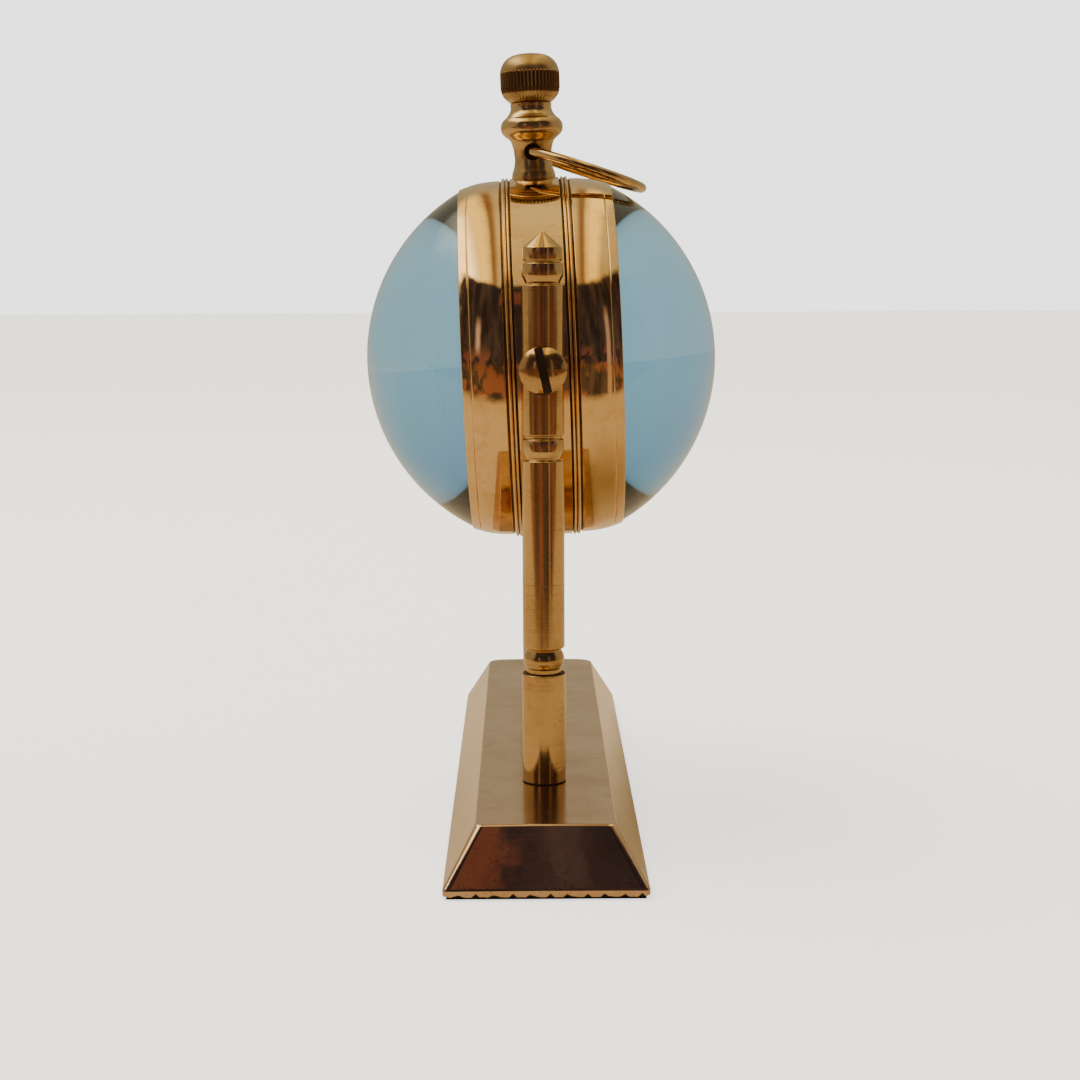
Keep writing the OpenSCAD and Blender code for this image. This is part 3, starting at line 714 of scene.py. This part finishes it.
def post_outline():
    """The turned post from its foot in the sleeve to the point of its finial."""
    bead_r = POST_R - 0.06
    bead_h, neck, groove = 3.2, 2.9, 3.1
    foot_bead = SLEEVE_TOP + 0.8
    column = foot_bead + bead_h + 0.4
    mid_bead = PIVOT_Z - 14.5
    upper = mid_bead + bead_h + 0.6
    top_bead = PIVOT_Z + 14.2
    collar = top_bead + bead_h + 0.3
    cone = collar + 2.1

    def bead(z):
        return [(neck, z), (bead_r, z + 1.1), (bead_r, z + bead_h - 0.15), (groove, z + bead_h)]

    def shaft(z0, z1):
        return [(POST_R - 0.1, z0), (POST_R, z0 + 0.12), (POST_R, z1 - 0.12), (POST_R - 0.1, z1)]

    points = [(0, SLEEVE_TOP), (neck, SLEEVE_TOP)]
    points += swell(neck, bead_r, foot_bead, foot_bead + bead_h)
    points += [(groove, column - 0.1)] + shaft(column, mid_bead - 0.4) + [(neck, mid_bead - 0.3)]
    points += bead(mid_bead) + [(groove, upper - 0.1)] + shaft(upper, top_bead - 0.4)
    points += [(neck - 0.1, top_bead - 0.3)] + bead(top_bead)
    points += [(groove, collar), (POST_R - 0.2, collar + 0.15), (POST_R - 0.2, cone)]
    points += [(0.6, POST_TOP - 0.2), (0.4, POST_TOP), (0, POST_TOP)]
    return rounded(points, 0.12, 3, closed=False)


def screw_outline():
    """Low domed head with a soft edge, its shank running in to the pivot pin."""
    low = math.asin((SCREW_DOME - SCREW_RISE) / SCREW_DOME)
    points = [(0, SCREW_END), (SHANK_R, SCREW_END), (SHANK_R, SCREW_SEAT), (SCREW_R - 0.25, SCREW_SEAT)]
    steps = 24
    for i in range(steps):
        a = low + (math.pi / 2 - low) * i / steps
        points.append((SCREW_DOME * math.cos(a), SCREW_TOP - SCREW_DOME + SCREW_DOME * math.sin(a)))
    return rounded(points, 0.1, 2, closed=False) + [(0, SCREW_TOP)]


def in_slot(r, x):
    """True for the screw head's faces that lie below its dome."""
    return x > SCREW_SEAT + 0.05 and math.hypot(r, x - SCREW_TOP + SCREW_DOME) < SCREW_DOME - 0.1


def slot_cutter(side):
    """A straight slot across the head, tipped from upright."""
    at = Matrix.Translation(Vector((side * SCREW_TOP * MM, 0, PIVOT.z)))
    place = at @ Matrix.Rotation(side * SLOT_TILT, 4, "X")
    size = Matrix.Diagonal((2 * SLOT_DEPTH * MM, SLOT_W * MM, 14 * MM, 1))
    return cutter(lambda bm: bmesh.ops.create_cube(bm, size=1.0, matrix=place @ size))


for side, word in SIDES:
    upright = Matrix.Translation(Vector((side * POST_X * MM, 0, 0)))
    sleeve = turned(f"{word}_foot_sleeve", sleeve_outline(), upright, 96, "stand", "turned_brass",
                    [f"{word}_sleeve"])
    # Painted shade on the sleeve's foot where it meets the base, and on its top where the post stands in it
    darken(sleeve, upright, lambda r, z: z < BASE_TOP + 0.16 or z > SLEEVE_TOP - 0.03)
    post = turned(f"{word}_turned_post", post_outline(), upright, 96, "stand", "turned_brass",
                  [f"{word}_post"])
    cut(post, drum(SEAT_R, SCREW_SEAT, SCREW_SEAT + SEAT_CLEAR, pivot_place(side), 64))

for side, word in SIDES:
    screw = turned(f"{word}_slotted_screw", screw_outline(), pivot_place(side), 96, "stand", "turned_brass",
                   [f"{word}_pivot_screw"])
    cut(screw, slot_cutter(side))
    # Painted shade: the slot's faces under the dome are painted dark
    darken(screw, pivot_place(side), in_slot)


# ---------------------------------------------------------------- case band and bezels

CASE_R = 32.3
SPIGOT_R = 30.9
BAND_BORE_R = 29.9
BAND_W = 4.35
RIB_W = 0.62
SPIGOT_W = 8.2
BEZEL_R = 32.0
BEZEL_START = 6.15
BEZEL_FACE = 13.6
BEZEL_FALL = 1.38
# Where the turned line near the lip lies
BEZEL_LINE = 11.9


def barrel(w):
    """The bezel's radius, which falls faster and faster from the band to the lip."""
    return BEZEL_R - BEZEL_FALL * ((w - BEZEL_START) / (BEZEL_FACE - BEZEL_START)) ** 2.3


def barrel_points(start, end, steps):
    return [(barrel(w), w) for w in (start + (end - start) * i / steps for i in range(steps + 1))]


def band_outline():
    """Flat centre strip, a groove, two fine ribs and the spigot that the bezel sits on."""
    rib_in, rib_out, floor_r = CASE_R - 0.2, CASE_R + 0.15, CASE_R - 0.5
    first, second = BAND_W + 0.25, BAND_W + 0.3 + RIB_W
    half = [(CASE_R, 0), (CASE_R, BAND_W), (CASE_R - 0.4, BAND_W + 0.1), (CASE_R - 0.4, BAND_W + 0.2)]
    half += swell(rib_in, rib_out, first, first + RIB_W, 10)
    half += swell(rib_in, rib_out, second, second + RIB_W, 10)
    half += [(floor_r, BEZEL_START - 0.15), (floor_r, BEZEL_START - 0.05), (SPIGOT_R, BEZEL_START - 0.05),
             (SPIGOT_R, SPIGOT_W), (BAND_BORE_R, SPIGOT_W)]
    return rounded(half + [(r, -w) for r, w in reversed(half[1:])], 0.06, 2)


def bezel_outline():
    """Barrel-shaped ring with a turned line near its rolled lip."""
    points = [(SPIGOT_R, BEZEL_START), (BEZEL_R - 0.12, BEZEL_START)]
    points += barrel_points(BEZEL_START + 0.12, BEZEL_LINE, 24)
    points += [(barrel(BEZEL_LINE) - 0.14, BEZEL_LINE + 0.12)]
    points += barrel_points(BEZEL_LINE + 0.24, BEZEL_FACE - 0.08, 10)
    points += [(SPIGOT_R - 0.42, BEZEL_FACE), (SPIGOT_R, 12.4)]
    return rounded(points, 0.1, 3)


brass_band = turned("brass_band", band_outline(), FACE, 256, "head", "polished_brass", ["case_band"])
darken(brass_band, FACE, lambda r, w: r < CASE_R - 0.12 and BAND_W < abs(w) < BEZEL_START, FLUTE_SHADE)
for place, word in FACES:
    turned(f"{word}_rolled_bezel", bezel_outline(), place, 256, "head", "polished_brass", [f"{word}_bezel"])


# ---------------------------------------------------------------- glass domes

GLASS_R = 34.45
GLASS_APEX = 31.65
GLASS_BACK = 9.0
GLASS_RIM = 30.88
RECESS_R = 29.2
RECESS_DEPTH = 2.4


def dome_outline():
    """Recessed flat back, ground rim and a spherical front."""
    centre = GLASS_APEX - GLASS_R
    inner = GLASS_BACK + RECESS_DEPTH
    first = math.asin(GLASS_RIM / GLASS_R)
    steps = 64
    points = [(0, inner), (RECESS_R, inner), (RECESS_R, GLASS_BACK)]
    points += [(GLASS_RIM - 0.1, GLASS_BACK), (GLASS_RIM, GLASS_BACK + 0.1)]
    points += [(GLASS_R * math.sin(a), centre + GLASS_R * math.cos(a))
               for a in (first * (1 - i / steps) for i in range(steps))]
    return points + [(0, GLASS_APEX)]


def on_rim(r, w):
    """True for the faces of the ground rim."""
    return r > RECESS_R - 0.1 and w < GLASS_BACK + RECESS_DEPTH - 0.1


for place, word in FACES:
    dome = turned(f"{word}_glass_dome", dome_outline(), place, 256, "head", "glass", [f"{word}_glass"],
                  sharp=50)
    darken(dome, place, on_rim, GROUND_GLASS)


# ---------------------------------------------------------------- pendant, crown and bow

# Heights above the dial axis, and the holes that the bow's ends sit in
STEM_BORE_R = 1.06
PENDANT_FOOT = 31.2
PENDANT_TOP = 45.5
BOW_Z = 36.8
HOLE_R = 1.5
HOLE_IN = 2.6
HOLE_OUT = 8
# How far out from the pendant's axis the holes' walls are painted dark, as painted shade
HOLE_SHADE = 3.3
CROWN_R = 5.35
CROWN_FOOT = 45.6
CROWN_TOP = 54.2
DOME_FOOT = 50.4
SIDE_FOOT = 48.2
FLUTES = 48
FLUTE_DEPTH = 0.28
FLUTE_FOOT = 46.6
FLUTE_TOP = 50.9
FLUTE_SHADE_FOOT = 47.2
# The bow's wire, the ring it makes, and where its ends leave the pendant
RING_R = 10.65
WIRE_R = 0.85
RING_FOOT = 3.75
WIRE_END = 2.3
BOW_DROP = math.radians(-18)


def pendant_outline():
    """Flared foot, waisted neck, a round bead and a short collar under the crown."""
    points = [(STEM_BORE_R, PENDANT_FOOT), (3.95, PENDANT_FOOT), (3.95, 32.6), (3.85, 33.2), (3.55, 34),
              (3.35, 35), (3.3, 35.8), (3.45, 37.4), (3.7, 38.4), (4, 39.05)]
    bead_from, bead_h, bead_r = 3.65, 41.25, 1.95
    points += [(bead_from + bead_r * math.cos(a), bead_h + bead_r * math.sin(a))
               for a in (math.radians(-50 + 110 * i / 16) for i in range(17))]
    points += [(4.05, 43.6), (3.75, 44.2), (3.65, 44.8), (3.75, PENDANT_TOP), (STEM_BORE_R, PENDANT_TOP)]
    return rounded(points, 0.35, 3)


def bow_axis(side):
    """The hinge of the bow, running out of the pendant to one side."""
    return HEAD @ Matrix.Translation(Vector((0, 0, BOW_Z * MM))) @ Matrix.Rotation(side * math.pi / 2, 4, "Y")


def crown_outline():
    """Tapered foot, straight side and a full dome."""
    points = [(0, CROWN_FOOT), (3.75, CROWN_FOOT), (4.3, 46.1), (4.85, 46.7), (5.15, 47.3)]
    points += [(CROWN_R, SIDE_FOOT + (DOME_FOOT - SIDE_FOOT) * i / 6) for i in range(7)]
    points += [(CROWN_R * math.cos(a) ** 0.65, DOME_FOOT + (CROWN_TOP - DOME_FOOT) * math.sin(a))
               for a in (math.radians(90 * i / 28) for i in range(1, 28))]
    return points + [(0, CROWN_TOP)]


def fluted(r, h, angle):
    """Flutes where the crown is widest, which end sharply under the smooth dome."""
    if not FLUTE_FOOT < h < FLUTE_TOP:
        return r
    phase = (angle * FLUTES / (2 * math.pi)) % 1.0
    return r - FLUTE_DEPTH * abs(2 * phase - 1) ** 0.8


def bow_loop(bm):
    """A round wire ring whose two ends turn in to the pendant's holes."""
    gap = math.asin(RING_FOOT / RING_R)
    middle = RING_R * math.cos(gap)
    place = Matrix.Translation(BOW_HINGE) @ Matrix.Rotation(BOW_DROP, 4, "X")
    steps = 120
    points = [Vector((-WIRE_END, 0, 0)), Vector((-WIRE_END - 0.6, 0, 0))]
    for i in range(steps + 1):
        a = -math.pi / 2 - gap - (2 * math.pi - 2 * gap) * i / steps
        points.append(Vector((RING_R * math.cos(a), middle + RING_R * math.sin(a), 0)))
    points += [Vector((WIRE_END + 0.6, 0, 0)), Vector((WIRE_END, 0, 0))]
    tube(bm, [place @ (p * MM) for p in points], WIRE_R * MM, 24)


pendant = turned("pendant_neck", pendant_outline(), HEAD, 128, "head", "worn_brass", ["pendant"])
holes = [drum(HOLE_R, HOLE_IN, HOLE_OUT, bow_axis(side), 48) for side in (1, -1)]
cut(pendant, drum(CASE_R, -10, 10, FACE, 256), *holes)
# Painted shade on the walls of the bow's holes
darken(pendant, bow_axis(1), lambda r, x: r < HOLE_R + 0.05 and abs(x) < HOLE_SHADE)
crown = turned("fluted_crown", crown_outline(), HEAD, FLUTES * 8, "crown", "crown_brass", ["crown"],
               radius_at=fluted, sharp=60)
darken(crown, HEAD, lambda r, z: r < CROWN_R - 0.45 * FLUTE_DEPTH and FLUTE_SHADE_FOOT < z < FLUTE_TOP,
       FLUTE_SHADE)
make("bow_ring", bow_loop, "bow", "worn_brass", ["bow"], sharp=50, material=WIRE_BRASS)


# ---------------------------------------------------------------- dial print

PRINT_W = 6.0
PRINT_H = 0.05
PRINT_MIDDLE = PRINT_W + PRINT_H / 2
NUMERAL_R = 17.4
NUMERAL_SIZE = 4.4
TRACK_R = 19.95
TRACK_W = 0.9
TRACK_LINE = 0.12
HOUR_STROKE = 0.34
MINUTE_STROKE = 0.14


def minute_track(bm):
    """Two fine rings with sixty strokes between them, printed on the dial."""
    for r in (TRACK_R, TRACK_R + TRACK_W):
        outline = [(r, PRINT_W), (r + TRACK_LINE, PRINT_W), (r + TRACK_LINE, PRINT_W + PRINT_H),
                   (r, PRINT_W + PRINT_H)]
        spin(bm, outline, FACE, 180)
    at = Matrix.Translation(Vector((0, TRACK_R + (TRACK_W + TRACK_LINE) / 2, PRINT_MIDDLE)) * MM)
    for minute in range(60):
        turn = Matrix.Rotation(math.radians(-6 * minute), 4, "Z")
        width = HOUR_STROKE if minute % 5 == 0 else MINUTE_STROKE
        size = Matrix.Diagonal((width * MM, (TRACK_W - TRACK_LINE) * MM, PRINT_H * MM, 1))
        bmesh.ops.create_cube(bm, size=1.0, matrix=FACE @ turn @ at @ size)


def figure_mesh(hour):
    """One plain figure, standing upright about its own middle."""
    text = bpy.data.curves.new("figure", "FONT")
    text.body = str(hour)
    text.size = NUMERAL_SIZE * MM
    text.align_x, text.align_y = "CENTER", "CENTER"
    text.extrude = PRINT_H / 2 * MM
    figure = bpy.data.objects.new("figure", text)
    bpy.context.scene.collection.objects.link(figure)
    bpy.context.view_layer.update()
    mesh = bpy.data.meshes.new_from_object(figure.evaluated_get(bpy.context.evaluated_depsgraph_get()))
    bpy.data.objects.remove(figure)
    return mesh


def hour_figures(bm):
    """The hours in plain figures, upright round the dial."""
    for hour in range(1, 13):
        angle = math.radians(30 * hour)
        at = Vector((NUMERAL_R * math.sin(angle), NUMERAL_R * math.cos(angle), PRINT_MIDDLE)) * MM
        mesh = figure_mesh(hour)
        mesh.transform(FACE @ Matrix.Translation(at))
        bm.from_mesh(mesh)
        bpy.data.meshes.remove(mesh)


make("minute_track", minute_track, "head", "black_paint")
make("hour_figures", hour_figures, "head", "black_paint")
